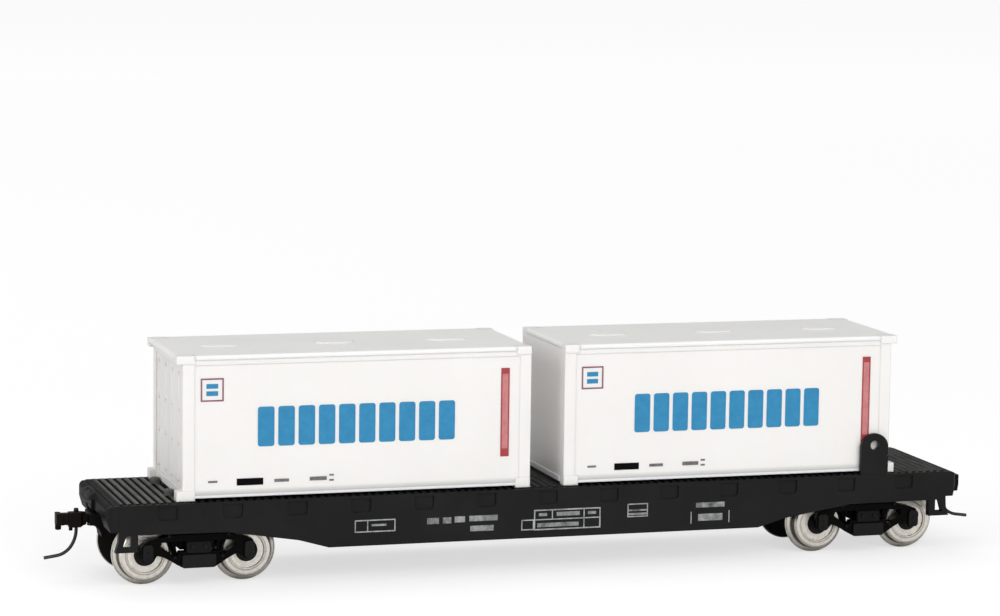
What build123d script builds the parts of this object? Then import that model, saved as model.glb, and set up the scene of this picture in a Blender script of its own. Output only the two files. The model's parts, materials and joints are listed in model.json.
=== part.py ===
from build123d import *
import os
from math import cos, radians, sin

# A 1:87 toy container flat car. A planked deck lies on fishbelly side sills, rides on two
# four-wheel bogies with knuckle couplers on their tongues, and carries two hollow containers.
# X runs along the car, Y across it and Z up from the plane that the wheel flanges stand on.
# The moulding turns onto itself by half a turn about Z. All sizes are in millimetres.

# Wheels and axles
tread_radius = 5.05
flange_height = 1.15
flange_width = 0.8
flange_tip = 0.3
wheel_width = 2.8
wheel_back_gap = 14.4
rim_slope = 0.45
rim_width = 1.2
rim_step = 0.15
web_recess = 0.35
collar_width = 0.3
collar_recess = 0.15
core_edge = 6.0
core_thickness = 0.4
core_radius = 2.2
core_recess = 0.55
bush_radius = 1.5
axle_radius = 1.0
journal_radius = 0.6
journal_length = 1.5
journal_clearance = 0.06

# Bogies
wheelbase = 19.9
sideframe_clearance = 0.7
sideframe_thickness = 1.8
bolster_half = 3.4
bolster_height = 3.2
pad_radius = 2.8
wheel_headroom = 0.2
pivot_gap = 0.05

# A sideframe's lower edge: each row is how far out from the bogie's centre, and how high
# over the axles
chord_outline = (
    (2.9, -2.45),
    (4.2, -1.75),
    (5.7, -0.8),
    (6.9, -0.15),
)

# The rest of its edge, round the axlebox and up the arched top bar: each row is how far out
# from the axle, and how high over it
axlebox_outline = (
    (-1.85, 0.2),
    (-1.3, -0.5),
    (-0.9, -0.95),
    (0.7, -0.95),
    (1.1, -0.6),
    (1.3, 1.6),
    (0.6, 2.75),
    (-1.1, 3.4),
    (-3.3, 3.85),
    (-5.5, 4.1),
)

# The window on each side of the centre: how far out from the bogie's centre, how high
window_outline = (
    (2.6, 0.8),
    (3.8, 0.8),
    (4.1, 0.1),
    (5.0, 0.1),
    (7.5, 2.0),
    (7.2, 2.7),
    (2.6, 2.9),
)
frame_proud = 0.5
frame_round = 0.35
seat_half = 3.3
seat_low = 2.3
seat_height = 2.5
panel_half = 2.4
panel_low = 0.5
panel_high = 2.7
panel_proud = 0.3
panel_corner = 0.45
cover_half = 1.0
cover_low = 0.85
cover_high = 2.45
cover_cut = 0.4

# King pins
king_radius = 1.2
king_clearance = 0.08
king_fit = 0.01
king_head_radius = 2.1
king_head_height = 0.8
king_seat_depth = 2.0

# Coupler tongues and boxes
tongue_half = 2.0
tongue_thickness = 1.0
axle_room = 1.4
gooseneck_half = 2.3
gooseneck_radius = 2.3
box_rear = 11.4
box_room = 0.4
box_half = 2.75
box_wall = 0.5
box_plate = 0.3
lid_plate = 0.7
shank_height = 1.2
shank_half = 1.1
shank_clearance = 0.1
shank_eye_radius = 1.7
shank_pivot = 14.0
pivot_post_radius = 0.75
coupler_rise = 5.75

# Coupler heads: each row of a plan is how far behind the knuckle's face, and how far across
knuckle_reach = 25.6
head_plan = (
    (5.9, 0.0),
    (1.35, 0.0),
    (1.35, 1.6),
    (2.45, 1.6),
    (2.45, 1.9),
    (4.7, 1.9),
    (5.3, 1.1),
    (5.9, 1.1),
)
guard_plan = (
    (5.9, 0.0),
    (5.9, -1.1),
    (4.7, -1.9),
    (2.6, -2.1),
    (1.0, -2.6),
    (0.8, -1.9),
    (2.2, -0.9),
    (2.2, 0.0),
)
knuckle_plan = (
    (1.35, 1.8),
    (0.0, 1.8),
    (0.0, -0.9),
    (1.0, -0.9),
    (1.0, 0.2),
    (1.35, 0.2),
)

# The head's side: each row is how far behind the knuckle's face, how high it reaches over the
# coupler's middle height, and how low under it
head_profile = (
    (1.35, 1.3, 0.9),
    (2.45, 1.3, 0.9),
    (2.45, 1.5, 1.4),
    (4.6, 1.5, 1.4),
    (5.9, 1.35, 1.0),
)
head_overlap = 1.0
guard_top = 0.7
guard_bottom = 0.9
knuckle_top = 1.35
knuckle_bottom = 0.9
knuckle_round = 0.4
nose_radius = 0.6
nose_back = 0.62
nose_across = -0.2
nose_drop = 2.05
nose_round = 0.25
nub_radius = 0.38
nub_back = 2.85
nub_across = 1.0
nub_drop = 2.05

# Trip pins: each row of the bends is a radius and the angle turned in degrees
trip_length = 4.1
trip_radius = 0.33
trip_bends = (
    (5.8, 35.0),
    (4.1, 47.0),
)
trip_tail = 2.5
trip_low = 1.7
trip_fit = 0.02
knob_radius = 0.47
knob_height = 0.6

# Body
body_length = 176.0
end_overhang = 18.4
body_width = 30.2
body_bolster_depth = 3.0
body_bolster_half = 4.2
deck_core = 0.8
plank_layer = 0.6
rib_pitch = 1.574
rib_base = 1.1
rib_crest = 0.7
rib_height = 0.35
sill_wall = 1.5
lip_width = 0.9
lip_drop = 0.2
beam_thickness = 2.4
beam_depth = 5.3
beam_face_depth = 2.9
beam_slant = 0.8
beam_round = 1.1
beam_corner = 1.3
notch_half = 8.2
notch_headroom = 0.45
striker_half = 1.9
striker_proud = 0.5
striker_round = 0.4

# Side sills: each row is how far in from a bogie's centre, and how deep under the deck's top
sill_outline = (
    (25.1, 10.0),
    (19.1, 8.3),
    (5.1, 6.1),
)
sill_end_depth = 5.95

# Stake pockets in the sills
pocket_end = 11.0
pocket_pitch = 12.7
pocket_width = 3.9
pocket_height = 2.7
pocket_depth = 0.4
pocket_round = 0.7
pocket_drop = 0.7

# Corner steps under the sills
step_length = 4.4
step_proud = 0.7
step_drop = 3.3
step_tread = 0.9
step_post = 1.4
step_lean = 0.7
step_waist = 0.6
step_overlap = 0.5

# Underframe
centre_sill_half = 2.6
centre_sill_wall = 1.0
centre_sill_depth = 8.6
centre_sill_slope = 6.0
centre_sill_room = 23.6
bearer_pitch = 12.7
bearer_thickness = 0.9
bearer_depth = 5.4
weight_end_room = 5.4
weight_width = 18.0
weight_thickness = 0.9

# Lashing lugs
lug_width = 5.9
lug_height = 8.4
lug_hole = 0.95
lug_hole_drop = 2.4

# Containers
container_gap = 7.0
container_length = 69.6
lug_gap = 0.2
container_height = 28.0
container_overhang = 1.2
container_wall = 1.0
panel_recess = 0.25
post_recess = 0.12
rail_height = 1.0
floor_lift = 0.45
post_width = 2.3
casting_long = 3.6
casting_short = 3.0
foot_height = 1.9
casting_height = 1.6
casting_depth = 2.3
roof_thickness = 0.9
roof_round = 0.45
roof_rim = 0.6
seat_clearance = 0.1
roof_mark_radius = 2.2
roof_mark_length = 3.4
roof_mark_height = 0.2
roof_mark_pitch = 23.0
roof_mark_shift = 1.0
roof_mark_taper = 20.0
door_margin = 1.6
door_thickness = 1.0
door_gap = 0.2
door_groove = 0.25
bar_radius = 0.3
bar_sink = 0.1
bar_places = (-9.2, -3.0, 3.0, 9.2)
keeper_half = 0.5
keeper_reach = 0.25
keeper_shares = (0.06, 0.36, 0.64, 0.94)

# Studs on the deck that keep the containers from sliding out
stud_radius = 1.05
stud_height = 1.25
stud_place = 6.7
stud_round = 0.5

# How far a cutter reaches past the face that it opens
cut_over = 1.0

# Heights and places that follow from the sizes above
axle_z = tread_radius + flange_height
bogie_centre = body_length / 2 - end_overhang
pivot_z = 2 * axle_z + wheel_headroom
core_bottom = pivot_z + pivot_gap + body_bolster_depth
plank_bottom = core_bottom + deck_core
deck_top = plank_bottom + plank_layer
coupler_z = axle_z + coupler_rise
trip_place = knuckle_reach - trip_length
head_start = knuckle_reach - head_plan[0][0]
box_front = head_start - box_room
box_floor = coupler_z - shank_height / 2 - shank_clearance
box_top = coupler_z + shank_height / 2 + shank_clearance
lip_top = deck_top - lip_drop
rib_half = body_width / 2 - lip_width
tongue_bottom = axle_z + axle_radius + axle_room
beam_inner = body_length / 2 - beam_thickness
sill_inner = body_width / 2 - sill_wall
wheel_face = wheel_back_gap / 2 + wheel_width
sideframe_inner = wheel_face + sideframe_clearance
sideframe_outer = sideframe_inner + sideframe_thickness
sideframe_top = axle_z + axlebox_outline[-1][1]
step_outer = beam_inner + step_proud
step_inner = step_outer - step_length
container_width = body_width - 2 * (lip_width + lug_gap)
weight_half = bogie_centre - body_bolster_half - weight_end_room
web_top = core_bottom - weight_thickness
deep_x = bogie_centre - centre_sill_room
end_x = bogie_centre - body_bolster_half
bearers_each_side = int(deep_x / bearer_pitch + 0.5)


def slab(x0, x1, y0, y1, z0, z1):
    """A box between two corners."""
    size = Box(x1 - x0, y1 - y0, z1 - z0)
    return Pos((x0 + x1) / 2, (y0 + y1) / 2, (z0 + z1) / 2) * size


def rod(radius, start, length, along):
    """A round bar from a point, along X, Y or Z."""
    turn = {"X": Rot(0, 90, 0), "Y": Rot(-90, 0, 0), "Z": Rot(0, 0, 0)}[along]
    bar = Cylinder(radius, length, align=(Align.CENTER, Align.CENTER, Align.MIN))
    return Pos(*start) * turn * bar


def side_plate(points, y0, y1):
    """A plate whose outline lies in the XZ plane, from y0 to y1."""
    outline = make_face(Polyline(*points, close=True))
    face = Plane.XZ.offset(-y0) * outline
    return extrude(face, amount=y0 - y1)


def plan_plate(points, z0, z1):
    """A plate whose outline lies in the XY plane, from z0 to z1."""
    outline = make_face(Polyline(*points, close=True))
    return extrude(Pos(0, 0, z0) * outline, amount=z1 - z0)


def rounded_face(points, corners, radius):
    """A flat face with the outline's numbered corners rounded."""
    face = make_face(Polyline(*points, close=True))
    spots = [Vector(*points[i]) for i in corners]
    picked = [v for v in face.vertices()
              if any((Vector(v) - spot).length < 1e-4 for spot in spots)]
    return fillet(picked, radius)


def turned(shape, end):
    """The same piece at the right end, or half a turn round for the left one."""
    return shape if end > 0 else Rot(0, 0, 180) * shape


def save(name, *solids):
    """Write a node's solids to its own file."""
    flat = []
    for item in solids:
        flat.extend(item.solids())
    whole = flat[0] if len(flat) == 1 else Compound(children=flat)
    export_step(whole, f"parts/{name}.step")


# Wheelsets

def wheel(side):
    """One wheel's metal tyre and stepped web, its flange inward: a turned section."""
    back = wheel_back_gap / 2
    face = back + wheel_width
    flange = tread_radius + flange_height
    crest = tread_radius - rim_slope
    web = crest - rim_width
    section = [
        (core_radius, back + core_thickness),
        (core_edge, back + core_thickness),
        (core_edge, back),
        (flange - flange_tip / 2, back),
        (flange, back + flange_tip),
        (tread_radius, back + flange_width),
        (tread_radius, face - rim_slope),
        (crest, face),
        (web + rim_step, face),
        (web, face - web_recess),
        (core_radius + collar_width, face - web_recess),
        (core_radius + collar_width, face - collar_recess),
        (core_radius, face - collar_recess),
    ]
    half = revolve(make_face(Polyline(*section, close=True)), Axis.Y)
    return half if side > 0 else mirror(half, Plane.XZ)


def axle():
    """The axle with the wheels' dark cores, their bushes, and the journals that turn in
    the sideframes."""
    back = wheel_back_gap / 2
    face = back + wheel_width
    journal_end = sideframe_inner + journal_length
    section = [
        (0, -journal_end),
        (journal_radius / 3, -journal_end),
        (journal_radius, -journal_end + journal_radius),
        (journal_radius, -face - sideframe_clearance / 2),
        (axle_radius, -face),
        (bush_radius, -face),
        (bush_radius, -face + core_recess),
        (core_radius, -face + core_recess),
        (core_radius, -back - core_thickness),
        (core_edge, -back - core_thickness),
        (core_edge, -back),
        (axle_radius, -back),
    ]
    section += [(r, -y) for r, y in reversed(section)]
    return revolve(make_face(Polyline(*section, close=True)), Axis.Y)


# Bogies, built about their own centre

def journal_bore(x):
    """The blind bearing in each sideframe, from one side of the bogie to the other."""
    reach = 2 * (sideframe_inner + journal_length + journal_clearance)
    return rod(journal_radius + journal_clearance, (x, -reach / 2, axle_z), reach, "Y")


def sideframe(side):
    """A cast sideframe: an arched top bar that curls round the axleboxes, a spring seat
    hanging between two windows, a raised centre panel and the axlebox covers."""
    half = wheelbase / 2
    right = [(x, axle_z + z) for x, z in chord_outline]
    right += [(half + x, axle_z + z) for x, z in axlebox_outline]
    left = [(-x, z) for x, z in reversed(right)]
    frame = side_plate(right + left, sideframe_inner, sideframe_outer)
    panel = [
        (-panel_half, axle_z + panel_low),
        (panel_half, axle_z + panel_low),
        (panel_half, axle_z + panel_high),
        (-panel_half, axle_z + panel_high),
    ]
    raised = Plane.XZ.offset(-sideframe_outer) * rounded_face(panel, range(4), panel_corner)
    frame += extrude(raised, amount=-panel_proud)
    seat = slab(-seat_half, seat_half, sideframe_inner, sideframe_outer + frame_proud,
                axle_z - seat_low, axle_z - seat_low + seat_height)
    frame += fillet(seat.edges().filter_by(Axis.Y), frame_round)
    cover = [
        (-cover_half, -cover_low + cover_cut),
        (-cover_half + cover_cut, -cover_low),
        (cover_half - cover_cut, -cover_low),
        (cover_half, -cover_low + cover_cut),
        (cover_half, cover_high - cover_cut),
        (cover_half - cover_cut, cover_high),
        (-cover_half + cover_cut, cover_high),
        (-cover_half, cover_high - cover_cut),
    ]
    for way in (-1, 1):
        opening = [(way * x, axle_z + z) for x, z in window_outline]
        frame -= side_plate(opening, sideframe_inner - cut_over, sideframe_outer + cut_over)
        frame += side_plate([(way * half + x, axle_z + z) for x, z in cover],
                            sideframe_outer, sideframe_outer + frame_proud)
        frame -= journal_bore(way * half)
    return frame if side > 0 else mirror(frame, Plane.XZ)


def bogie_bolster():
    """The cross member between the sideframes, with its centre pad and king pin bore."""
    bottom = sideframe_top - bolster_height
    beam = slab(-bolster_half, bolster_half, -sideframe_inner, sideframe_inner,
                bottom, sideframe_top)
    beam += rod(pad_radius, (0, 0, sideframe_top), pivot_z - sideframe_top, "Z")
    beam -= rod(king_radius + king_clearance, (0, 0, bottom - cut_over), pivot_z, "Z")
    return beam


def coupler_box():
    """The tongue over the outer axle, which rises as a gooseneck with a hollow front
    under the open box that holds the shank."""
    low = tongue_bottom
    lip = box_floor - box_plate
    front = box_front - gooseneck_radius
    tongue = slab(bolster_half, front, -tongue_half, tongue_half, low, low + tongue_thickness)
    flat = Polyline((box_front, lip), (box_front, box_floor), (box_rear, box_floor),
                    (box_rear, low), (front, low), (front, lip - gooseneck_radius))
    middle = gooseneck_radius * cos(radians(45))
    hollow = ThreePointArc((front, lip - gooseneck_radius),
                           (box_front - middle, lip - gooseneck_radius + middle),
                           (box_front, lip))
    outline = make_face(flat.edges() + hollow.edges())
    neck = extrude(Plane.XZ.offset(-gooseneck_half) * outline, amount=2 * gooseneck_half)
    box = slab(box_rear, box_front, -box_half, box_half, lip, box_top)
    box -= slab(box_rear + box_wall, box_front + cut_over, -box_half + box_wall,
                box_half - box_wall, box_floor, box_top + cut_over)
    post = rod(pivot_post_radius, (shank_pivot, 0, box_floor), box_top - box_floor, "Z")
    return tongue + neck + box + post


def coupler_lid():
    """The plate that closes the coupler box."""
    lid = slab(box_rear, box_front, -box_half, box_half, box_top, box_top + lid_plate)
    return chamfer(lid.edges().group_by(Axis.Z)[-1], lid_plate / 4)


# Couplers, in the bogie's frame

def coupler_head():
    """The shank with its eye, and the head, whose neck tapers to the shank: a tall block
    beside the knuckle, a lower guard arm across from it, a nub below and the pin's bore."""
    low = coupler_z - shank_height / 2
    shank = slab(shank_pivot, head_start + head_overlap, -shank_half, shank_half,
                 low, low + shank_height)
    shank += rod(shank_eye_radius, (shank_pivot, 0, low), shank_height, "Z")
    shank -= rod(pivot_post_radius + king_clearance, (shank_pivot, 0, low - cut_over),
                 shank_height + 2 * cut_over, "Z")
    sides = [(knuckle_reach - back, coupler_z + high) for back, high, deep in head_profile]
    sides += [(knuckle_reach - back, coupler_z - deep)
              for back, high, deep in reversed(head_profile)]
    block = plan_plate([(knuckle_reach - back, y) for back, y in head_plan],
                       coupler_z - knuckle_reach, coupler_z + knuckle_reach)
    block &= side_plate(sides, -knuckle_reach, knuckle_reach)
    guard = plan_plate([(knuckle_reach - back, y) for back, y in guard_plan],
                       coupler_z - guard_bottom, coupler_z + guard_top)
    nub = rod(nub_radius, (knuckle_reach - nub_back, nub_across, coupler_z - nub_drop),
              nub_drop, "Z")
    bore = rod(trip_radius + trip_fit, (trip_place, 0, coupler_z - knuckle_reach),
               2 * knuckle_reach, "Z")
    return shank + block + guard + nub - bore


def coupler_knuckle():
    """The rounded hook that closes on the neighbour's, its nose hanging lower."""
    plan = [(knuckle_reach - back, y) for back, y in knuckle_plan]
    face = rounded_face(plan, range(1, 4), knuckle_round)
    hook = extrude(Pos(0, 0, coupler_z - knuckle_bottom) * face,
                   amount=knuckle_bottom + knuckle_top)
    nose = rod(nose_radius, (knuckle_reach - nose_back, nose_across, coupler_z - nose_drop),
               nose_drop, "Z")
    return hook + fillet(nose.edges().group_by(Axis.Z)[0], nose_round)


def trip_pin():
    """The headed pin that drops through the head and curves forward in two bends, its
    tail sloping down to the tip."""
    top = coupler_z + max(high for back, high, deep in head_profile)
    slope = radians(sum(turn for radius, turn in trip_bends))
    drop = trip_tail * cos(slope)
    angle = 0
    for radius, turn in trip_bends:
        drop += radius * (sin(angle + radians(turn)) - sin(angle))
        angle += radians(turn)
    spot = Vector(trip_place, 0, axle_z - trip_low + drop)
    edges = [Line((trip_place, 0, top), spot).edges()[0]]
    angle = 0

    def along_bend(start, radius, first, last):
        return start + Vector(radius * (cos(first) - cos(last)), 0,
                              radius * (sin(first) - sin(last)))

    for radius, turn in trip_bends:
        last = angle + radians(turn)
        middle = along_bend(spot, radius, angle, (angle + last) / 2)
        end = along_bend(spot, radius, angle, last)
        edges.append(ThreePointArc(spot, middle, end).edges()[0])
        spot, angle = end, last
    tip = spot + Vector(trip_tail * sin(slope), 0, -trip_tail * cos(slope))
    edges.append(Line(spot, tip).edges()[0])
    start = Plane(origin=(trip_place, 0, top), z_dir=(0, 0, -1))
    pin = sweep(start * Circle(trip_radius), path=Wire(edges))
    knob = rod(knob_radius, (trip_place, 0, top), knob_height, "Z")
    return pin + fillet(knob.edges().group_by(Axis.Z)[-1], knob_height / 3)


# Body

def plank_deck():
    """The deck: a layer of raised ribs over a core that fits between the sills."""
    base = deck_top - rib_height
    deck = slab(-beam_inner, beam_inner, -rib_half, rib_half, plank_bottom, base)
    deck += slab(-beam_inner, beam_inner, -sill_inner, sill_inner, core_bottom, plank_bottom)
    section = [(-rib_base / 2, base), (rib_base / 2, base),
               (rib_crest / 2, deck_top), (-rib_crest / 2, deck_top)]
    each_way = int((beam_inner - rib_base / 2) / rib_pitch)
    deck += [
        side_plate([(i * rib_pitch + x, z) for x, z in section], -rib_half, rib_half)
        for i in range(-each_way, each_way + 1)
    ]
    outer = container_gap / 2 + container_length
    stud_x = outer + seat_clearance + stud_radius
    for way in (-1, 1):
        for side in (-1, 1):
            stud = rod(stud_radius, (way * stud_x, side * stud_place, base),
                       stud_height + rib_height, "Z")
            stud = fillet(stud.edges().group_by(Axis.Z)[-1], stud_round)
            deck += stud
    return deck


def sill_plate():
    """A sill's fishbelly outline with a thin lip beside the deck and the corner steps
    under it."""
    half = [(beam_inner, deck_top - sill_end_depth)]
    half += [(bogie_centre - room, deck_top - depth) for room, depth in reversed(sill_outline)]
    left = [(-x, z) for x, z in reversed(half)]
    outline = [(beam_inner, plank_bottom)] + half + left + [(-beam_inner, plank_bottom)]
    y0 = sill_inner
    y1 = body_width / 2
    plate = side_plate(outline, y0, y1)
    plate += slab(-beam_inner, beam_inner, rib_half, y1, plank_bottom, lip_top)
    for way in (-1, 1):
        plate += corner_step(way, y0, y1)
    return plate


def corner_step(way, y0, y1):
    """A moulded step: two posts, a tread and a leaning window between them."""
    top = deck_top - sill_end_depth + step_overlap
    low = deck_top - sill_end_depth - step_drop
    outer_top = min(step_outer, beam_inner)
    block = [
        (step_inner, top),
        (step_inner, low),
        (step_outer, low),
        (step_outer - step_waist, (low + top) / 2),
        (outer_top, top),
    ]
    window = [
        (step_inner + step_post, low + step_tread),
        (step_outer - step_post, low + step_tread),
        (step_outer - step_post - step_lean, top - step_overlap),
        (step_inner + step_post, top - step_overlap),
    ]
    step = side_plate([(way * x, z) for x, z in block], y0, y1)
    hole = side_plate([(way * x, z) for x, z in window], y0 - cut_over, y1 + cut_over)
    return step - hole


def side_sill(side):
    """A sill with its row of stake pockets, open at the outer face."""
    sill = sill_plate()
    face = body_width / 2
    high = deck_top - pocket_drop
    pocket = slab(-pocket_width / 2, pocket_width / 2, face - pocket_depth, face + cut_over,
                  high - pocket_height, high)
    low_edges = pocket.edges().filter_by(Axis.Y).group_by(Axis.Z)[0]
    pocket = fillet(low_edges, pocket_round)
    each_way = int((body_length / 2 - pocket_end) / pocket_pitch)
    sill -= [Pos(i * pocket_pitch, 0, 0) * pocket for i in range(-each_way, each_way + 1)]
    return sill if side > 0 else Rot(0, 0, 180) * sill


def end_beam():
    """The right end beam, rounded at its top edge and corners, its face leaning in below,
    notched over the coupler under a rounded striker."""
    x1 = body_length / 2
    top = deck_top - rib_height
    low = deck_top - beam_depth
    profile = [
        (beam_inner, top),
        (x1, top),
        (x1, deck_top - beam_face_depth),
        (x1 - beam_slant, low),
        (beam_inner, low),
    ]
    half = body_width / 2
    section = Plane.XZ.offset(-half) * rounded_face(profile, (1,), beam_round)
    beam = extrude(section, amount=2 * half)
    plan = [(beam_inner, -half), (x1, -half), (x1, half), (beam_inner, half)]
    beam &= extrude(rounded_face(plan, (1, 2), beam_corner), amount=top)
    beam += slab(beam_inner, beam_inner + lip_width, -half, half, low, lip_top)
    notch_top = box_top + lid_plate + notch_headroom
    beam -= slab(beam_inner - cut_over, x1 + cut_over, -notch_half, notch_half,
                 low - cut_over, notch_top)
    striker = slab(x1 - beam_round, x1 + striker_proud, -striker_half, striker_half,
                   notch_top, top - beam_round + striker_round)
    beam += fillet(striker.edges().filter_by(Axis.Y).group_by(Axis.X)[-1], striker_round)
    return beam


def lashing_lug():
    """The upright eye on the deck's edge beside the right container."""
    face = body_width / 2
    round_z = lip_top + lug_height - lug_width / 2
    lug = slab(bogie_centre - lug_width / 2, bogie_centre + lug_width / 2,
               -face, -face + lip_width, lip_top, round_z)
    lug += rod(lug_width / 2, (bogie_centre, -face, round_z), lip_width, "Y")
    hole_z = lip_top + lug_height - lug_hole_drop
    return lug - rod(lug_hole, (bogie_centre, -face - cut_over, hole_z),
                     lip_width + 2 * cut_over, "Y")


def body_bolster():
    """The block over a bogie that the king pin hangs from."""
    low = pivot_z + pivot_gap
    block = slab(-body_bolster_half, body_bolster_half, -sill_inner, sill_inner,
                 low, core_bottom)
    return block - rod(king_radius + king_fit, (0, 0, low - cut_over),
                       king_seat_depth + cut_over, "Z")


def underframe():
    """The two webs of the centre sill, deep between the bogies and shallow over them."""
    deep = deck_top - centre_sill_depth
    shallow = pivot_z + pivot_gap
    half = [(deep_x, deep), (deep_x + centre_sill_slope, shallow), (end_x, shallow), (end_x, web_top)]
    outline = half + [(-x, z) for x, z in reversed(half)]
    webs = [side_plate(outline, y - centre_sill_wall / 2, y + centre_sill_wall / 2)
            for y in (-centre_sill_half, centre_sill_half)]
    for i in range(-bearers_each_side, bearers_each_side):
        webs = [web - cross_bearer(i) for web in webs]
    return Compound(children=webs)


def cross_bearer(i):
    """One of the plates that cross the webs from sill to sill."""
    x = (i + 0.5) * bearer_pitch
    return slab(x - bearer_thickness / 2, x + bearer_thickness / 2, -sill_inner, sill_inner,
                deck_top - bearer_depth, web_top)


def cross_bearers():
    """The row of cross bearers, let into the webs."""
    row = range(-bearers_each_side, bearers_each_side)
    return Compound(children=[cross_bearer(i) for i in row])


def weight_plate():
    """The steel strip under the deck that gives the toy its weight."""
    return slab(-weight_half, weight_half, -weight_width / 2, weight_width / 2,
                core_bottom - weight_thickness, core_bottom)


def king_pin():
    """The headed pin through the bogie's bolster."""
    low = sideframe_top - bolster_height - pivot_gap
    pin = rod(king_radius, (0, 0, low), pivot_z + pivot_gap + king_seat_depth - low, "Z")
    return pin + rod(king_head_radius, (0, 0, low - king_head_height), king_head_height, "Z")


# Containers: the right one, its doors at the outer end

inner_x = container_gap / 2
wall_x = inner_x + container_length
lip_x = wall_x + container_overhang
side_y = container_width / 2
panel_y = side_y - panel_recess
container_top = deck_top + container_height
roof_bottom = container_top - roof_thickness
floor_z = deck_top + floor_lift
door_half = side_y - post_width
door_low = floor_z + door_margin
door_high = roof_bottom - door_margin


def container_shell():
    """Walls, posts and rails round an open space, with the eight corner castings."""
    shell = slab(inner_x, wall_x, -panel_y, panel_y, floor_z, roof_bottom)
    post_y = side_y - post_recess
    for side in (-1, 1):
        y0, y1 = sorted((side * post_y, side * (post_y - container_wall)))
        for z0, z1 in ((floor_z, floor_z + rail_height), (roof_bottom - rail_height, roof_bottom)):
            shell += slab(inner_x, wall_x, y0, y1, z0, z1)
        for x0 in (inner_x, wall_x - post_width):
            shell += slab(x0, x0 + post_width, y0, y1, floor_z, roof_bottom)
    shell -= slab(inner_x + container_wall, wall_x - container_wall, -panel_y + container_wall,
                  panel_y - container_wall, floor_z - cut_over, roof_bottom + cut_over)
    shell -= slab(wall_x - container_wall - cut_over, wall_x + cut_over, -door_half, door_half,
                  door_low, door_high)
    for side in (-1, 1):
        y0, y1 = sorted((side * side_y, side * (side_y - casting_depth)))
        for z0, z1 in ((deck_top, deck_top + foot_height),
                       (container_top - casting_height, container_top)):
            shell += slab(lip_x - casting_long, lip_x, y0, y1, z0, z1)
            shell += slab(inner_x, inner_x + casting_short, y0, y1, z0, z1)
    return shell


def container_roof():
    """The roof plate with rounded edges, notched round the top castings, with a rim
    inside the walls."""
    roof = slab(inner_x, lip_x, -side_y, side_y, roof_bottom, container_top)
    roof = fillet(roof.edges().group_by(Axis.Z)[-1], roof_round)
    for side in (-1, 1):
        y0, y1 = sorted((side * (side_y + cut_over), side * (side_y - casting_depth)))
        for x0, x1 in ((lip_x - casting_long, lip_x + cut_over),
                       (inner_x - cut_over, inner_x + casting_short)):
            roof -= slab(x0, x1, y0, y1, roof_bottom - cut_over, container_top + cut_over)
    in_x0 = inner_x + container_wall + seat_clearance
    in_x1 = wall_x - container_wall - seat_clearance
    in_y = side_y - casting_depth - seat_clearance
    rim = slab(in_x0, in_x1, -in_y, in_y, roof_bottom - roof_rim, roof_bottom)
    rim -= slab(in_x0 + container_wall, in_x1 - container_wall, -in_y + container_wall,
                in_y - container_wall, roof_bottom - roof_rim - cut_over, roof_bottom)
    roof += rim
    middle = (inner_x + lip_x) / 2 + roof_mark_shift
    for step in (-1, 0, 1):
        mark = SlotOverall(roof_mark_length + 2 * roof_mark_radius, 2 * roof_mark_radius)
        place = Pos(middle + step * roof_mark_pitch, 0, container_top)
        roof += extrude(place * mark, amount=roof_mark_height, taper=roof_mark_taper)
    return roof


def container_floor():
    """The floor plate inside the walls, notched round the lower castings."""
    edge = container_wall + seat_clearance
    top = floor_z + container_wall
    floor = slab(inner_x + edge, wall_x - edge, -panel_y + edge, panel_y - edge, floor_z, top)
    for side in (-1, 1):
        y0, y1 = sorted((side * side_y, side * (side_y - casting_depth - seat_clearance)))
        for x0, x1 in ((wall_x - casting_long, wall_x),
                       (inner_x, inner_x + casting_short + seat_clearance)):
            floor -= slab(x0, x1, y0, y1, floor_z - cut_over, top + cut_over)
    return floor


def container_doors():
    """The pair of doors as one moulding in low relief, with four locking bars."""
    gap = seat_clearance / 2
    face = wall_x - panel_recess
    low = door_low + gap
    high = door_high - gap
    doors = slab(wall_x - door_thickness, face, -door_half + gap, door_half - gap, low, high)
    doors -= slab(face - door_groove, face + cut_over, -door_gap / 2, door_gap / 2,
                  door_low, door_high)
    for y in bar_places:
        doors += rod(bar_radius, (face - bar_sink, y, low), high - low, "Z")
        for share in keeper_shares:
            z = low + share * (high - low)
            doors += slab(face - bar_sink, face + keeper_reach, y - keeper_half,
                          y + keeper_half, z - bar_radius, z + bar_radius)
    return doors


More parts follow.
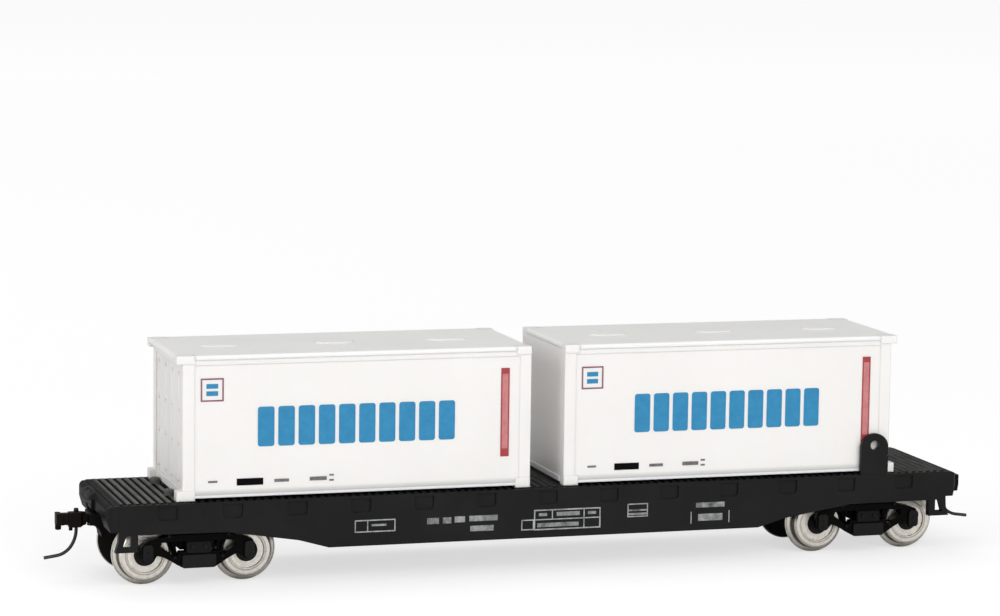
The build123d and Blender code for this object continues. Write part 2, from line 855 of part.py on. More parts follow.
def build():
    """Make every piece and write it."""
    os.makedirs("parts", exist_ok=True)
    save("deck", plank_deck())
    save("side_sill_near", side_sill(-1))
    save("side_sill_far", side_sill(1))
    save("underframe", underframe())
    save("cross_bearers", cross_bearers())
    save("weight_plate", weight_plate())
    for end, word in ((-1, "left"), (1, "right")):
        at_bogie = Pos(bogie_centre, 0, 0)
        side = "far" if end < 0 else "near"
        save(f"end_beam_{word}", turned(end_beam(), end))
        save(f"lug_{side}", turned(lashing_lug(), end))
        save(f"body_bolster_{word}", turned(at_bogie * body_bolster(), end))
        save(f"king_pin_{word}", turned(at_bogie * king_pin(), end))
        save(f"container_{word}_shell", turned(container_shell(), end))
        save(f"container_{word}_roof", turned(container_roof(), end))
        save(f"container_{word}_floor", turned(container_floor(), end))
        save(f"container_{word}_doors", turned(container_doors(), end))
        save(f"bogie_{word}_bolster", turned(at_bogie * bogie_bolster(), end))
        for way, name in ((-1, "near"), (1, "far")):
            save(f"bogie_{word}_sideframe_{name}", turned(at_bogie * sideframe(way * end), end))
        save(f"bogie_{word}_tongue", turned(at_bogie * coupler_box(), end))
        save(f"bogie_{word}_lid", turned(at_bogie * coupler_lid(), end))
        save(f"coupler_{word}_head", turned(at_bogie * coupler_head(), end))
        save(f"coupler_{word}_knuckle", turned(at_bogie * coupler_knuckle(), end))
        save(f"coupler_{word}_trip_pin", turned(at_bogie * trip_pin(), end))
        for place, way in (("inner", -1), ("outer", 1)):
            spot = Pos(bogie_centre + way * wheelbase / 2, 0, axle_z)
            save(f"wheels_{word}_{place}", turned(spot * wheel(1), end),
                 turned(spot * wheel(-1), end))
            save(f"axle_{word}_{place}", turned(spot * axle(), end))


build()
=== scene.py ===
import json
from math import cos, pi, radians, sin

import bmesh
import bpy
from mathutils import Matrix, Vector


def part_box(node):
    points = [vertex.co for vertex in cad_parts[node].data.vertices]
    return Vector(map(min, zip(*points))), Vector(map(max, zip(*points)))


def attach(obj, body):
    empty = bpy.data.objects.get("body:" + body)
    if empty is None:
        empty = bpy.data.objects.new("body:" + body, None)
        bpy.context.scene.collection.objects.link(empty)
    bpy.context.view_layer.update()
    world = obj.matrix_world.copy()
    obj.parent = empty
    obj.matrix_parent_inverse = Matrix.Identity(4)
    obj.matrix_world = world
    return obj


# Looks of the toy container flat car, in metres, in the model's own frame.
# X runs along the car, Y away from the near side and Z up. Half a turn about Z
# carries the near side's fittings and prints to the far side.

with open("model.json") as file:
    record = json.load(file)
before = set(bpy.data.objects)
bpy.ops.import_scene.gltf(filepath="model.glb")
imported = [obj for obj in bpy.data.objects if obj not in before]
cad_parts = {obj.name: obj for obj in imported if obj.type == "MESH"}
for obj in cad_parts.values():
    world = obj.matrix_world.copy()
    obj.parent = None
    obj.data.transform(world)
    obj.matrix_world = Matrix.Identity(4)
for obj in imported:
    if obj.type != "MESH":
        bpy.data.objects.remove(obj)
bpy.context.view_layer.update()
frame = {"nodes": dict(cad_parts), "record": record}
nodes = frame["nodes"]

MM = 0.001
HALF_TURN = Matrix.Rotation(pi, 4, "Z")
END_SIGNS = {"left": -1, "right": 1}
OTHER_END = {"left": "right", "right": "left"}
DECK_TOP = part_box("container_left_shell")[0].z

# Places on the car in mm: faces of the sideframes and their axlebox covers, of the sills and
# of the containers' long walls, all from the middle, and where each container begins
BOGIE_CENTRE = 69.6
AXLE_X, AXLE_Z = 9.95, 6.2
FRAME_FACE, COVER_FACE = 12.5, 13.0
SILL_FACE = -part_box("side_sill_near")[0].y / MM
WALL_FACE = -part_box("container_left_shell")[0].y / MM - 0.25
CONTAINER_X = {"left": -73.1, "right": 3.5}
INK = 0.03


# Camera, light and floor

def make_camera():
    """The camera, with the place, turn and focal length that fit the photograph."""
    place = Vector((-0.206407, -0.640694, 0.136677))
    yaw, pitch, roll = 0.303451, 0.127065, 0.013988
    focal_length_over_width = 3.394130
    forward = Vector((sin(yaw) * cos(pitch), cos(yaw) * cos(pitch), -sin(pitch)))
    level = Vector((cos(yaw), -sin(yaw), 0))
    upright = level.cross(forward)
    right = cos(roll) * level + sin(roll) * upright
    up = cos(roll) * upright - sin(roll) * level
    data = bpy.data.cameras.new("camera")
    data.lens = focal_length_over_width * data.sensor_width
    data.clip_start = 0.01
    data.clip_end = 50
    camera = bpy.data.objects.new("camera", data)
    turn = Matrix((right, up, -forward)).transposed().to_4x4()
    camera.matrix_world = Matrix.Translation(place) @ turn
    bpy.context.scene.collection.objects.link(camera)
    bpy.context.scene.camera = camera


def soft_lamp(name, place, target, width, level):
    """A square lamp that alone lights a facing white surface to the given level."""
    place, target = Vector(place), Vector(target)
    data = bpy.data.lights.new(name, "AREA")
    data.size = width
    data.energy = level * (pi * (target - place).length) ** 2
    lamp = bpy.data.objects.new(name, data)
    lamp.location = place
    lamp.rotation_euler = (target - place).to_track_quat("-Z", "Y").to_euler()
    bpy.context.scene.collection.objects.link(lamp)


def make_light():
    """A large lamp before the car, weaker ones beside and over it, and an even pale
    surround that is seen as white."""
    middle = (0, 0, 0.03)
    soft_lamp("front_lamp", (0.25, -1.3, 0.65), middle, 1.1, 0.60)
    soft_lamp("left_lamp", (-1.2, -0.35, 0.5), middle, 0.9, 0.36)
    soft_lamp("top_lamp", (-0.2, 0.5, 1.3), middle, 0.9, 0.20)
    lit_strength, seen_strength = 0.52, 1
    world = bpy.data.worlds.new("studio")
    world.use_nodes = True
    tree = world.node_tree
    tree.nodes.clear()
    mix = tree.nodes.new("ShaderNodeMixShader")
    tree.links.new(seen_directly(tree), mix.inputs[0])
    for socket, strength in ((1, lit_strength), (2, seen_strength)):
        background = tree.nodes.new("ShaderNodeBackground")
        background.inputs["Strength"].default_value = strength
        tree.links.new(background.outputs[0], mix.inputs[socket])
    out = tree.nodes.new("ShaderNodeOutputWorld")
    tree.links.new(mix.outputs[0], out.inputs["Surface"])
    bpy.context.scene.world = world


def seen_directly(tree):
    """A value of 1 for camera rays, and 0 for the rest."""
    return tree.nodes.new("ShaderNodeLightPath").outputs["Is Camera Ray"]


def make_floor():
    """A plain white floor that glows a little where it is seen, more so far from the car
    where less light falls, and keeps the shadow."""
    half = 9.0
    near_glow, far_glow = 0.64, 0.772
    near, far = 0.25, 1.6
    seen_paint, lit_paint = (0.42, 0.42, 0.42, 1), (0.85, 0.85, 0.85, 1)
    corners = [(-half, -half, 0), (half, -half, 0), (half, half, 0), (-half, half, 0)]
    mesh = bpy.data.meshes.new("floor")
    mesh.from_pydata(corners, [], [(0, 1, 2, 3)])
    floor = bpy.data.objects.new("floor", mesh)
    bpy.context.scene.collection.objects.link(floor)
    shader = Shader("floor_white")
    seen = seen_directly(shader.tree)
    place = shader.add("NewGeometry").outputs["Position"]
    distance = shader.add("VectorMath", {0: place}, operation="LENGTH").outputs["Value"]
    strength = shader.math("MULTIPLY", seen, shader.spread(distance, near_glow, far_glow, near, far))
    paint = shader.add("BsdfDiffuse", {"Color": seen_paint})
    pale = shader.add("BsdfDiffuse", {"Color": lit_paint})
    light = shader.add("Emission", {"Strength": strength})
    both = shader.add("AddShader", {0: paint.outputs[0], 1: light.outputs[0]})
    top = shader.add("MixShader", {0: seen, 1: pale.outputs[0], 2: both.outputs[0]})
    clear = shader.add("BsdfTransparent")
    back = shader.add("NewGeometry").outputs["Backfacing"]
    whole = shader.add("MixShader", {0: back, 1: top.outputs[0], 2: clear.outputs[0]})
    mesh.materials.append(shader.finish(whole))


# Materials

class Shader:
    """A material's node tree, with short ways to add and join nodes."""

    def __init__(self, name):
        self.material = bpy.data.materials.new(name)
        self.material.use_nodes = True
        self.tree = self.material.node_tree
        self.tree.nodes.clear()

    def add(self, kind, inputs=None, **settings):
        """Adds a node, with its settings, and values or other nodes' outputs as inputs."""
        node = self.tree.nodes.new("ShaderNode" + kind)
        for key, value in settings.items():
            setattr(node, key, value)
        for key, value in (inputs or {}).items():
            if isinstance(value, bpy.types.NodeSocket):
                self.tree.links.new(value, node.inputs[key])
            else:
                node.inputs[key].default_value = value
        return node

    def math(self, operation, *values):
        """One step of arithmetic."""
        return self.add("Math", dict(enumerate(values)), operation=operation).outputs[0]

    def noise(self, place, scale, detail=3.0, roughness=0.55):
        """Cloudy noise; the scale is in cells a metre."""
        return self.add("TexNoise", {"Vector": place, "Scale": scale, "Detail": detail,
                                     "Roughness": roughness}).outputs["Fac"]

    def spread(self, value, low, high, start=0.3, end=0.7):
        """Maps a value from start to end, as a noise value, to a range."""
        return self.add("MapRange", {"Value": value, "From Min": start, "From Max": end,
                                     "To Min": low, "To Max": high}).outputs["Result"]

    def blend(self, share, first, second):
        """A colour between two, each of them a constant or another node's output."""
        inputs = {"Factor": share}
        for key, colour in (("A", first), ("B", second)):
            inputs[key] = colour if isinstance(colour, bpy.types.NodeSocket) else (*colour, 1)
        return self.add("Mix", inputs, data_type="RGBA").outputs["Result"]

    def within(self, share, *limits):
        """The share where all the limits hold, and 0 elsewhere."""
        for value, operation, limit in limits:
            share = self.math("MULTIPLY", share, self.math(operation, value, limit))
        return share

    def soft_edges(self, radius):
        """A normal that rounds the edges of a moulding."""
        return self.add("Bevel", {"Radius": radius}, samples=4).outputs["Normal"]

    def bump(self, height, strength, distance, normal=None):
        """A normal with a relief on it."""
        inputs = {"Height": height, "Strength": strength, "Distance": distance}
        if normal is not None:
            inputs["Normal"] = normal
        return self.add("Bump", inputs).outputs[0]

    def finish(self, surface):
        """Joins the last shader to the output."""
        out = self.add("OutputMaterial")
        self.tree.links.new(surface.outputs[0], out.inputs["Surface"])
        return self.material


def painted_rib_light(shader, place, colour):
    """Paints highlights on the crests of the ribs and the studs on the deck's open ends, and paints
    shade in the valleys between: the colour, and how much gloss the valleys lose."""
    pitch, side = 1.574 * MM, 14.2 * MM
    middle, reach = 79.0 * MM, 6.0 * MM
    # Colours of the painted shade in the valleys and of the painted highlight on the crests
    valley_shade, crest_highlight = (0.0020, 0.0021, 0.0019), (0.120, 0.124, 0.114)
    to_left, to_right = -10 * MM, 10 * MM
    x, y, z = shader.add("SeparateXYZ", {0: place}).outputs
    aside = shader.math("PINGPONG", x, pitch / 2)
    crest = shader.spread(aside, 1, 0, 0.17 * pitch, 0.42 * pitch)
    stud = shader.math("GREATER_THAN", z, DECK_TOP + 0.05 * MM)
    high = shader.spread(z, 0, 1, DECK_TOP - 0.3 * MM, DECK_TOP - 0.05 * MM)
    left = shader.math("MULTIPLY", shader.math("MAXIMUM", crest, stud), high)
    # At the right end the painted light is even, and strongest in the valleys, where it lightens
    # their shade
    right = shader.spread(z, 0.95, 0.34, DECK_TOP - 0.2 * MM, DECK_TOP - 0.02 * MM)
    along = shader.add("Mapping", {"Vector": place, "Scale": (1, 0.12, 1)}).outputs[0]
    streaks = shader.spread(shader.noise(along, 1600, detail=4), 0.45, 1)
    # How much painted light each point of the ribs gets
    rib_light = shader.math("MULTIPLY", streaks, shader.spread(x, left, right, to_left, to_right))
    off = shader.math("SUBTRACT", shader.math("ABSOLUTE", x), middle)
    inside = shader.within(shader.math("GREATER_THAN", z, DECK_TOP - 0.45 * MM),
                           (shader.math("ABSOLUTE", off), "LESS_THAN", reach),
                           (shader.math("ABSOLUTE", y), "LESS_THAN", side))
    dull = shader.math("MULTIPLY", inside, shader.spread(rib_light, 0.12, 0.02, 0, 0.6))
    return shader.blend(inside, colour, shader.blend(rib_light, valley_shade, crest_highlight)), dull


def shaded_frames(shader, place, colour):
    """Darkens the bogies' sideframes, most where they stand back from the axlebox covers:
    the colour, and how much gloss they lose."""
    inner, outer, top = 10.0 * MM, (COVER_FACE + 0.45) * MM, 10.5 * MM
    gloss_lost = 0.085
    x, y, z = shader.add("SeparateXYZ", {0: place}).outputs
    beside = shader.math("ABSOLUTE", y)
    share = shader.spread(beside, 1, 0.12, (FRAME_FACE + 0.1) * MM, (COVER_FACE - 0.1) * MM)
    share = shader.within(share, (z, "LESS_THAN", top), (beside, "LESS_THAN", outer),
                          (beside, "GREATER_THAN", inner))
    shade = shader.blend(share, colour, (0.0012, 0.0013, 0.0010))
    return shade, shader.math("MULTIPLY", share, gloss_lost)


def dull_beams(shader, place):
    """How much gloss the end beams lose."""
    gloss_lost, beam_start, beam_side = 0.1, 85.65 * MM, 14.3 * MM
    x, y, z = shader.add("SeparateXYZ", {0: place}).outputs
    return shader.within(gloss_lost, (shader.math("ABSOLUTE", x), "GREATER_THAN", beam_start),
                         (shader.math("ABSOLUTE", y), "LESS_THAN", beam_side))


def car_painted_light_and_gloss(shader, place, colour):
    """All painted light and shade on the car's black mouldings: the colour, and how much gloss they
    lose.
    """
    colour, ribs_dull = painted_rib_light(shader, place, colour)
    colour, frames_dull = shaded_frames(shader, place, colour)
    dull = shader.math("ADD", ribs_dull, frames_dull)
    return colour, shader.math("ADD", dull, dull_beams(shader, place))


def wall_painted_shade(shader, place, colour):
    """Paints shade on the containers' long walls just above the lower rails, with no loss of gloss.
    """
    rail_top = DECK_TOP + 0.98 * MM
    back, front = (WALL_FACE - 0.15) * MM, (WALL_FACE + 0.18) * MM
    x, y, z = shader.add("SeparateXYZ", {0: place}).outputs
    beside = shader.math("ABSOLUTE", y)
    share = shader.spread(z, 1, 0, DECK_TOP + 1.1 * MM, DECK_TOP + 2.1 * MM)
    share = shader.within(share, (z, "GREATER_THAN", rail_top),
                          (beside, "LESS_THAN", front), (beside, "GREATER_THAN", back))
    # The painted shade's colour, strongest just above the rail
    return shader.blend(share, colour, (0.53, 0.53, 0.51)), None


def moulded(name, dark, pale, roughness, edge, grain, cloud=70.0, specular=0.35, depth=0.0,
            marks=None):
    """Moulded plastic: drifting shade and gloss, a fine grain and softened edges. Dark and
    pale are the colour's limits, edge, grain and the light's depth are metres, and marks
    is a function that changes the colour in places."""
    shader = Shader(name)
    place = shader.add("TexCoord").outputs["Object"]
    drift = shader.noise(place, cloud)
    speck = shader.noise(place, 900, detail=4)
    pits = shader.noise(place, 5200, detail=2)
    colour = shader.blend(shader.spread(drift, 0, 1), dark, pale)
    shine = specular
    if marks:
        colour, dull = marks(shader, place, colour)
        if dull is not None:
            shine = shader.math("SUBTRACT", specular, dull)
    skin = shader.bump(pits, 0.35, grain, shader.soft_edges(edge))
    surface = shader.add("BsdfPrincipled", {
        "Base Color": colour, "Roughness": shader.spread(speck, roughness - 0.07, roughness + 0.07),
        "IOR": 1.5, "Specular IOR Level": shine, "Normal": shader.bump(drift, 0.25, 8 * grain, skin)})
    if depth:
        surface.inputs["Subsurface Weight"].default_value = 0.6
        surface.inputs["Subsurface Scale"].default_value = depth
        surface.inputs["Subsurface Radius"].default_value = (1.0, 0.9, 0.8)
    return shader.finish(surface)


def turned_metal(name, dark, pale, roughness, turning, shaded_rings):
    """Metal turned on a lathe: rings round the piece's own middle along Y, and painted shade where
    other pieces stand close. Each ring of painted shade has a middle and half width, as shares of
    the piece's width, and a strength."""
    shader = Shader(name)
    coordinates = shader.add("TexCoord")
    generated, place = coordinates.outputs["Generated"], coordinates.outputs["Object"]
    centred = shader.add("VectorMath", {0: generated, 1: (0.5, 0.5, 0.5)}, operation="SUBTRACT")
    flat = shader.add("VectorMath", {0: centred.outputs[0], 1: (1, 0, 1)}, operation="MULTIPLY")
    radius = shader.add("VectorMath", {0: flat.outputs[0]}, operation="LENGTH").outputs["Value"]
    rings = shader.math("MULTIPLY", radius, turning)
    wave = shader.math("SINE", shader.math("MULTIPLY_ADD", shader.noise(place, 600), 0.8, rings))
    marks = shader.noise(place, 1500, detail=4)
    colour = shader.blend(shader.spread(marks, 0, 1), dark, pale)
    # Rings of painted shade on the wheel
    for middle, half, share in shaded_rings:
        off = shader.math("ABSOLUTE", shader.math("SUBTRACT", radius, middle))
        ring_shade = shader.spread(off, share, 0, 0.6 * half, half)
        colour = shader.blend(ring_shade, colour, (0.11, 0.085, 0.065))
    # Painted shade, darkest where other pieces stand close to the metal
    close = shader.add("AmbientOcclusion", {"Distance": 3.5 * MM}, samples=8).outputs["AO"]
    colour = shader.blend(shader.spread(close, 0.6, 0, 0.1, 0.5), colour, (0.05, 0.042, 0.036))
    surface = shader.add("BsdfPrincipled", {
        "Base Color": colour, "Roughness": shader.spread(marks, roughness - 0.05, roughness + 0.07),
        "Metallic": 1.0, "Normal": shader.bump(wave, 0.10, 0.000008, shader.soft_edges(0.00008))})
    return shader.finish(surface)


def plain_metal(name, dark, pale, roughness, grain_scale):
    """Rolled or drawn metal with fine streaks along X."""
    shader = Shader(name)
    place = shader.add("TexCoord").outputs["Object"]
    stretched = shader.add("Mapping", {"Vector": place, "Scale": (0.06, 1, 1)}).outputs[0]
    streaks = shader.noise(stretched, grain_scale, detail=4)
    surface = shader.add("BsdfPrincipled", {
        "Base Color": shader.blend(shader.spread(streaks, 0, 1), dark, pale),
        "Roughness": shader.spread(streaks, roughness - 0.08, roughness + 0.1),
        "Metallic": 1.0, "Normal": shader.bump(streaks, 0.2, 0.00002, shader.soft_edges(0.00006))})
    return shader.finish(surface)


def printed(name, dark, pale, specular=0.3):
    """Printing ink: slightly uneven cover, with a soft sheen."""
    shader = Shader(name)
    place = shader.add("TexCoord").outputs["Object"]
    cloud = shader.noise(place, 700, detail=5, roughness=0.7)
    speck = shader.noise(place, 6000, detail=2)
    surface = shader.add("BsdfPrincipled", {
        "Base Color": shader.blend(shader.spread(cloud, 0, 1), dark, pale),
        "Roughness": shader.spread(speck, 0.34, 0.46),
        "Specular IOR Level": specular, "Normal": shader.bump(speck, 0.2, 0.00001)})
    return shader.finish(surface)


def make_materials():
    """Every material by name; those with a record slot's name dress its nodes."""
    # Rings of painted shade on the wheels, at the tread's edge and in the face's groove: middle, half
    # width and strength
    tread, groove = (0.4165, 0.0165, 0.9), (0.3080, 0.0160, 0.45)
    light_depth = 0.7 * MM
    made = {}

    def make(maker, name, *values, **options):
        made[name] = maker(name, *values, **options)

    make(moulded, "black_plastic", (0.0055, 0.0057, 0.0056), (0.0095, 0.0098, 0.0094), 0.42,
         0.00014, 0.00002, specular=0.13, marks=car_painted_light_and_gloss)
    make(moulded, "coupler_plastic", (0.0062, 0.0040, 0.0032), (0.0098, 0.0062, 0.0050), 0.45,
         0.00012, 0.00002, specular=0.06)
    # A lighter copy of the black plastic: painted highlight for the hand wheel
    make(moulded, "worn_plastic", (0.030, 0.031, 0.029), (0.050, 0.051, 0.048), 0.40,
         0.00006, 0.00001, specular=0.2)
    make(moulded, "white_plastic", (0.822, 0.805, 0.785), (0.852, 0.835, 0.815), 0.38,
         0.00035, 0.000012, cloud=45, depth=light_depth, marks=wall_painted_shade)
    # A lighter copy of the white plastic: painted light for the containers' lower rails
    make(moulded, "rail_plastic", (0.925, 0.912, 0.895), (0.950, 0.937, 0.920), 0.38,
         0.00006, 0.000012, cloud=45, depth=light_depth)
    make(moulded, "roof_plastic", (0.825, 0.822, 0.800), (0.860, 0.857, 0.835), 0.42,
         0.00035, 0.000012, cloud=45, depth=light_depth)
    make(moulded, "grey_plastic", (0.34, 0.34, 0.34), (0.40, 0.40, 0.395), 0.5,
         0.00012, 0.00002)
    make(moulded, "axle_black", (0.008, 0.007, 0.006), (0.014, 0.012, 0.011), 0.4,
         0.00006, 0.00001, specular=0.15)
    make(turned_metal, "nickel_wheels", (0.72, 0.68, 0.62), (0.84, 0.80, 0.73), 0.30, 620.0,
         (tread, groove))
    make(plain_metal, "dark_wire", (0.030, 0.029, 0.030), (0.055, 0.053, 0.054), 0.35, 3000)
    make(plain_metal, "pin_steel", (0.42, 0.42, 0.43), (0.56, 0.56, 0.56), 0.34, 2500)
    make(plain_metal, "weight_steel", (0.30, 0.30, 0.31), (0.44, 0.43, 0.42), 0.42, 1800)
    make(printed, "blue_ink", (0.018, 0.200, 0.400), (0.030, 0.248, 0.462))
    make(printed, "red_ink", (0.30, 0.035, 0.042), (0.40, 0.055, 0.062))
    make(printed, "pink_ink", (0.48, 0.155, 0.160), (0.56, 0.225, 0.225))
    make(printed, "plum_ink", (0.20, 0.07, 0.11), (0.30, 0.13, 0.17))
    make(printed, "black_ink", (0.002, 0.002, 0.002), (0.004, 0.004, 0.004), specular=0.03)
    make(printed, "grey_ink", (0.08, 0.08, 0.075), (0.20, 0.20, 0.19))
    make(printed, "pale_ink", (0.15, 0.16, 0.16), (0.48, 0.49, 0.48))
    make(printed, "faded_ink", (0.05, 0.055, 0.055), (0.36, 0.37, 0.36))
    return made


def dress_frame():
    """Gives each node of the frame the material of its slot."""
    for subpart in frame["record"]["subparts"]:
        mesh = nodes[subpart["node"]].data
        mesh.materials.clear()
        mesh.materials.append(materials[subpart["material_slot"]])


# Meshes

class Solid:
    """Gathers closed shapes into one mesh."""

    def __init__(self):
        self.mesh = bmesh.new()

    def prism(self, outline, start, end, place):
        """A closed prism: the outline's (u, v) at depths start and end, put in place by
        a function of u, v and depth."""
        rings = [[self.mesh.verts.new(place(u, v, w)) for u, v in outline] for w in (start, end)]
        count = len(outline)
        self.mesh.faces.new(list(reversed(rings[0])))
        self.mesh.faces.new(rings[1])
        for i in range(count):
            j = (i + 1) % count
            self.mesh.faces.new((rings[0][i], rings[0][j], rings[1][j], rings[1][i]))

    def domed_head(self, place, radius, height):
        """A low round head: a short drum under a smaller cap, from depth 0 outward."""
        self.prism(round_outline(radius), -0.1, 0.55 * height, place)
        self.prism(round_outline(0.72 * radius), 0, height, place)

    def ring(self, centre, radius, tube, steps=40, around=10):
        """A round ring about the Y axis."""
        rows = []
        for i in range(steps):
            turn = 2 * pi * i / steps
            row = []
            for j in range(around):
                tilt = 2 * pi * j / around
                reach = radius + tube * cos(tilt)
                point = Vector((centre[0] + reach * cos(turn), centre[1] + tube * sin(tilt),
                                centre[2] + reach * sin(turn)))
                row.append(self.mesh.verts.new(point * MM))
            rows.append(row)
        for i in range(steps):
            for j in range(around):
                k, m = (i + 1) % steps, (j + 1) % around
                self.mesh.faces.new((rows[i][j], rows[k][j], rows[k][m], rows[i][m]))

    def piece(self, name, body, material):
        """Ends the mesh and rides it on a body."""
        bmesh.ops.recalc_face_normals(self.mesh, faces=self.mesh.faces)
        data = bpy.data.meshes.new(name)
        self.mesh.to_mesh(data)
        self.mesh.free()
        data.materials.append(materials[material])
        item = bpy.data.objects.new(name, data)
        bpy.context.scene.collection.objects.link(item)
        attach(item, body)


def rectangle(u0, u1, v0, v1, corner=0.0, steps=4):
    """A rectangle's outline, its corners rounded by arcs if asked."""
    if not corner:
        return [(u0, v0), (u1, v0), (u1, v1), (u0, v1)]
    outline = []
    for index, (u, v) in enumerate(((u1, v0), (u1, v1), (u0, v1), (u0, v0))):
        cu = u - corner if u == u1 else u + corner
        cv = v - corner if v == v1 else v + corner
        for step in range(steps + 1):
            angle = pi / 2 * (index - 1 + step / steps)
            outline.append((cu + corner * cos(angle), cv + corner * sin(angle)))
    return outline


def round_outline(radius, steps=20):
    """A circle's outline."""
    return [(radius * cos(2 * pi * i / steps), radius * sin(2 * pi * i / steps))
            for i in range(steps)]


def frame_strips(u0, u1, v0, v1, line):
    """Four strips that make a rectangular outline."""
    return [rectangle(u0, u1, v1 - line, v1), rectangle(u0, u1, v0, v0 + line),
            rectangle(u0, u0 + line, v0 + line, v1 - line),
            rectangle(u1 - line, u1, v0 + line, v1 - line)]


# Prints and rails on the long sides

def on_side(origin_x, face_y, far):
    """Places (u, v, depth), with v from the deck's top, on the near side, or half a turn
    round on the far one."""
    def place(u, v, w):
        point = Vector(((origin_x + u) * MM, -(face_y + w) * MM, DECK_TOP + v * MM))
        return HALF_TURN @ point if far else point
    return place


def container_sides(end):
    """A container's near and far long side: the end at which its marks are drawn before any
    half turn, and the function that puts them in place."""
    return [(drawn, on_side(CONTAINER_X[drawn], WALL_FACE, far))
            for drawn, far in ((end, False), (OTHER_END[end], True))]


def container_prints():
    """The blank marks on both long sides: a row of blue blocks, a red post, a framed
    square and small dark plates. Each place is from the container's left end and from the
    deck's top, in mm."""
    start, end, low, high, slit, count, corner = 14.7, 54.1, 10.1, 17.8, 0.75, 10, 0.5
    pitch = (end - start + slit) / count
    blocks = [rectangle(start + i * pitch, start + i * pitch + pitch - slit, low, high, corner)
              for i in range(count)]
    post = (63.45, 65.2, 6.3, 23.85)
    post_left, post_right, post_low, post_high = post
    edge, pale_low, pale_high = 0.28, 7.9, 22.7
    square = (3.5, 8.0, 19.1, 23.6)
    square_line = 0.3
    inks = {
        "blue_ink": blocks + [rectangle(4.6, 6.9, 21.6, 22.5), rectangle(4.6, 6.9, 20.2, 21.1)],
        "red_ink": frame_strips(*post, edge) + [
            rectangle(post_left + edge, post_right - edge, pale_high, post_high - edge),
            rectangle(post_left + edge, post_right - edge, post_low + edge, pale_low)],
        "pink_ink": [rectangle(post_left + edge, post_right - edge, pale_low, pale_high)],
        "plum_ink": frame_strips(*square, square_line),
        "black_ink": [rectangle(10.6, 15.8, 2.65, 4.0)],
        "grey_ink": [rectangle(5.0, 6.8, 3.35, 3.75), rectangle(18.0, 20.9, 3.05, 3.65),
                     rectangle(25.0, 28.4, 3.05, 3.8), rectangle(28.9, 29.8, 3.85, 4.2),
                     rectangle(28.9, 29.8, 2.85, 3.2)],
    }
    for end_name in END_SIGNS:
        for ink, outlines in inks.items():
            solid = Solid()
            for drawn, place in container_sides(end_name):
                for outline in outlines:
                    solid.prism(outline, 0, INK, place)
            solid.piece(f"container_{end_name}_print_{ink[:-4]}", "wagon", ink)


def sill_prints():
    """Blank boxes and lines in pale ink on the side sills: how far along the car and how
    deep under the deck's top, in mm."""
    widest_line = 0.25
    lines, bars = [], []
    # Each box: left, right, low, high, line
    for box in ((-39.4, -31.2, -7.35, -4.9, 0.22), (-2.9, 10.95, -8.5, -4.4, 0.25),
                (-5.5, -2.9, -8.4, -6.3, 0.2), (16.6, 20.9, -6.7, -4.0, 0.2)):
        lines += frame_strips(*box)
    # Each bar: left, right, low, high
    for bar in ((-36.9, -36.7, -7.2, -5.1), (-36.0, -33.0, -6.2, -5.8),
                (-24.8, -22.4, -6.3, -5.1), (-21.6, -19.9, -6.3, -5.1),
                (-19.2, -17.1, -6.2, -5.0), (-16.2, -10.4, -6.1, -5.0),
                (-16.0, -11.2, -8.1, -7.0),
                (-2.7, 10.8, -6.5, -6.3), (0.8, 1.0, -6.3, -4.5), (7.4, 7.6, -8.3, -4.5),
                (-1.9, -0.2, -5.7, -5.1), (1.8, 6.6, -5.8, -5.0), (8.3, 10.0, -5.7, -5.1),
                (-2.2, 6.4, -7.9, -7.1), (16.8, 20.7, -5.5, -5.2), (16.8, 20.7, -6.3, -5.9),
                (31.1, 37.2, -5.4, -4.4), (31.6, 36.8, -8.1, -6.7), (30.0, 30.2, -8.6, -6.2),
                (38.1, 38.3, -8.6, -6.2)):
        left, right, low, high = bar
        group = lines if min(right - left, high - low) < widest_line else bars
        group.append(rectangle(*bar))
    for far, side in ((False, "near"), (True, "far")):
        for kind, outlines, ink in (("lines", lines, "pale_ink"), ("bars", bars, "faded_ink")):
            solid = Solid()
            for outline in outlines:
                solid.prism(outline, 0, INK, on_side(0, SILL_FACE, far))
            solid.piece(f"sill_print_{kind}_{side}", "wagon", ink)


def lower_rails():
    """The lower rails of the containers: on the long sides flush with the castings, into
    which they run, and across the inner end."""
    runs = {"left": (2.35, 66.65), "right": (2.95, 67.25)}
    low, side_high, end_high = 0.5, 1.0, 1.5
    side_proud, end_proud, end_half = 0.23, 0.2, 11.6
    inner_end = CONTAINER_X["right"]
    for end, sign in END_SIGNS.items():
        solid = Solid()
        for drawn, place in container_sides(end):
            solid.prism(rectangle(*runs[drawn], low, side_high), 0, side_proud, place)

        def across(u, v, w):
            return Vector((sign * (inner_end - w) * MM, u * MM, DECK_TOP + v * MM))
        solid.prism(rectangle(-end_half, end_half, low, end_high), 0, end_proud, across)
        # The rails take the lighter copy of the white plastic, as painted light
        solid.piece(f"container_{end}_lower_rails", "wagon", "rail_plastic")


# Small fittings

def facing(x, y, z, side):
    """Places (u, v, depth) at a point in mm, looking out on the near (-1) or far (1) side."""
    def place(u, v, w):
        return Vector((x + u, y + side * w, z + v)) * MM
    return place


def bogie_fittings():
    """Bolt heads on the sideframes' top bars, spring bosses and axlebox covers."""
    # Each head: along from the bogie's centre, above the axle, face from the middle, radius, height
    heads = ((5.8, 3.95, FRAME_FACE, 0.42, 0.35), (4.7, -0.3, FRAME_FACE, 0.40, 0.30),
             (AXLE_X, 0.95, COVER_FACE, 0.24, 0.16), (AXLE_X, -0.2, COVER_FACE, 0.24, 0.16),
             (1.25, 1.75, COVER_FACE, 0.42, 0.14))
    for end, sign in END_SIGNS.items():
        solid = Solid()
        for side in (-1, 1):
            for along, above, face, radius, height in heads:
                for way in (-1, 1):
                    x = sign * BOGIE_CENTRE + way * along
                    place = facing(x, side * face, AXLE_Z + above, side)
                    solid.domed_head(place, radius, height)
        solid.piece(f"bogie_{end}_heads", f"bogie_{end}", "black_plastic")


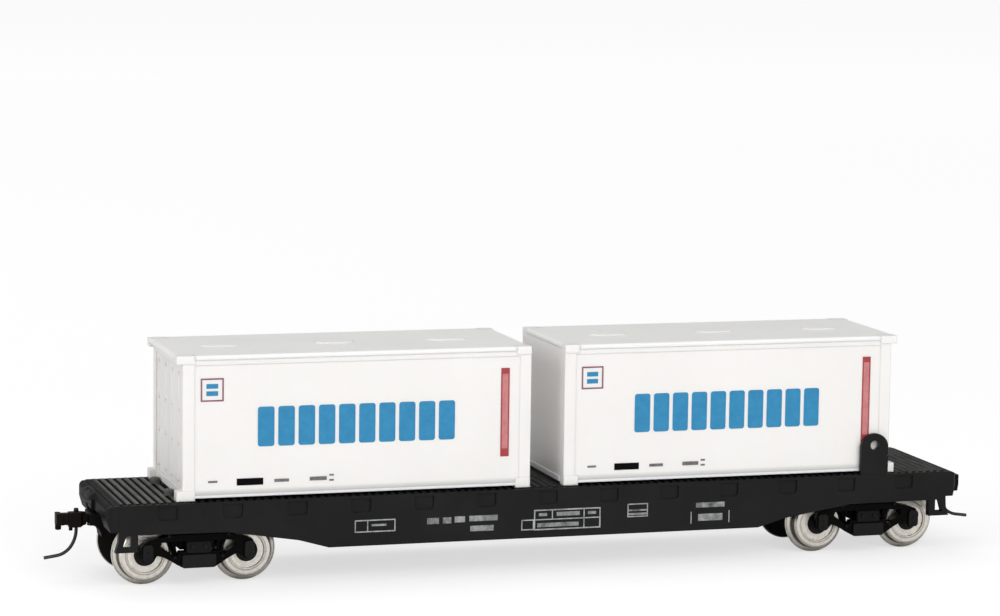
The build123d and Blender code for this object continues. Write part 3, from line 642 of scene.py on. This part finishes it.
def brake_shoes():
    """A curved shoe before each wheel's tread, on a hanger under the sideframe's top bar."""
    inner, outer, low, high = 5.42, 6.05, radians(-12), radians(33)
    pad_width, hanger_width = (8.5, 10.45), (9.4, 10.95)
    steps = 8
    arc = [low + (high - low) * i / steps for i in range(steps + 1)]
    pad = [(AXLE_X - inner * cos(a), inner * sin(a)) for a in arc]
    pad += [(AXLE_X - outer * cos(a), outer * sin(a)) for a in reversed(arc)]
    hanger = [(3.75, 1.5), (4.25, 1.5), (4.55, 3.2), (4.05, 3.2)]
    for end, sign in END_SIGNS.items():
        solid = Solid()
        for side in (-1, 1):
            for way in (-1, 1):
                def place(u, v, w):
                    return Vector((sign * BOGIE_CENTRE + way * u, side * w, AXLE_Z + v)) * MM
                solid.prism(pad, *pad_width, place)
                solid.prism(hanger, *hanger_width, place)
        solid.piece(f"bogie_{end}_brake_shoes", f"bogie_{end}", "black_plastic")


def sill_fittings():
    """A small stud on each sill over a bogie, half a turn apart."""
    x, z, radius, height = 69.2, 15.1, 0.32, 0.12
    for side, sign in (("near", -1), ("far", 1)):
        solid = Solid()
        solid.domed_head(facing(sign * x, sign * SILL_FACE, z, sign), radius, height)
        solid.piece(f"sill_stud_{side}", "wagon", "black_plastic")


def hand_wheel():
    """A small spoked wheel at the left end, its rim let into the beam."""
    centre = (-88.55, 0.9, 16.75)
    rim_radius, rim_tube, hub_radius, hub_half = 1.2, 0.17, 0.42, 0.3
    spoke_reach, spoke_half, spokes = 1.15, 0.1, 3
    solid = Solid()
    solid.ring(centre, rim_radius, rim_tube)
    place = facing(*centre, -1)
    solid.prism(round_outline(hub_radius), -hub_half, hub_half, place)
    corners = rectangle(-spoke_reach, spoke_reach, -spoke_half, spoke_half)
    for i in range(spokes):
        turn = pi * i / spokes
        bar = [(a * cos(turn) - b * sin(turn), a * sin(turn) + b * cos(turn)) for a, b in corners]
        solid.prism(bar, -spoke_half, spoke_half, place)
    # The wheel takes the lighter copy of the black plastic, as painted highlight
    solid.piece("hand_wheel_left", "wagon", "worn_plastic")


make_camera()
make_light()
make_floor()
materials = make_materials()
dress_frame()
container_prints()
sill_prints()
lower_rails()
bogie_fittings()
brake_shoes()
sill_fittings()
hand_wheel()

bpy.context.scene.view_settings.view_transform = "Standard"
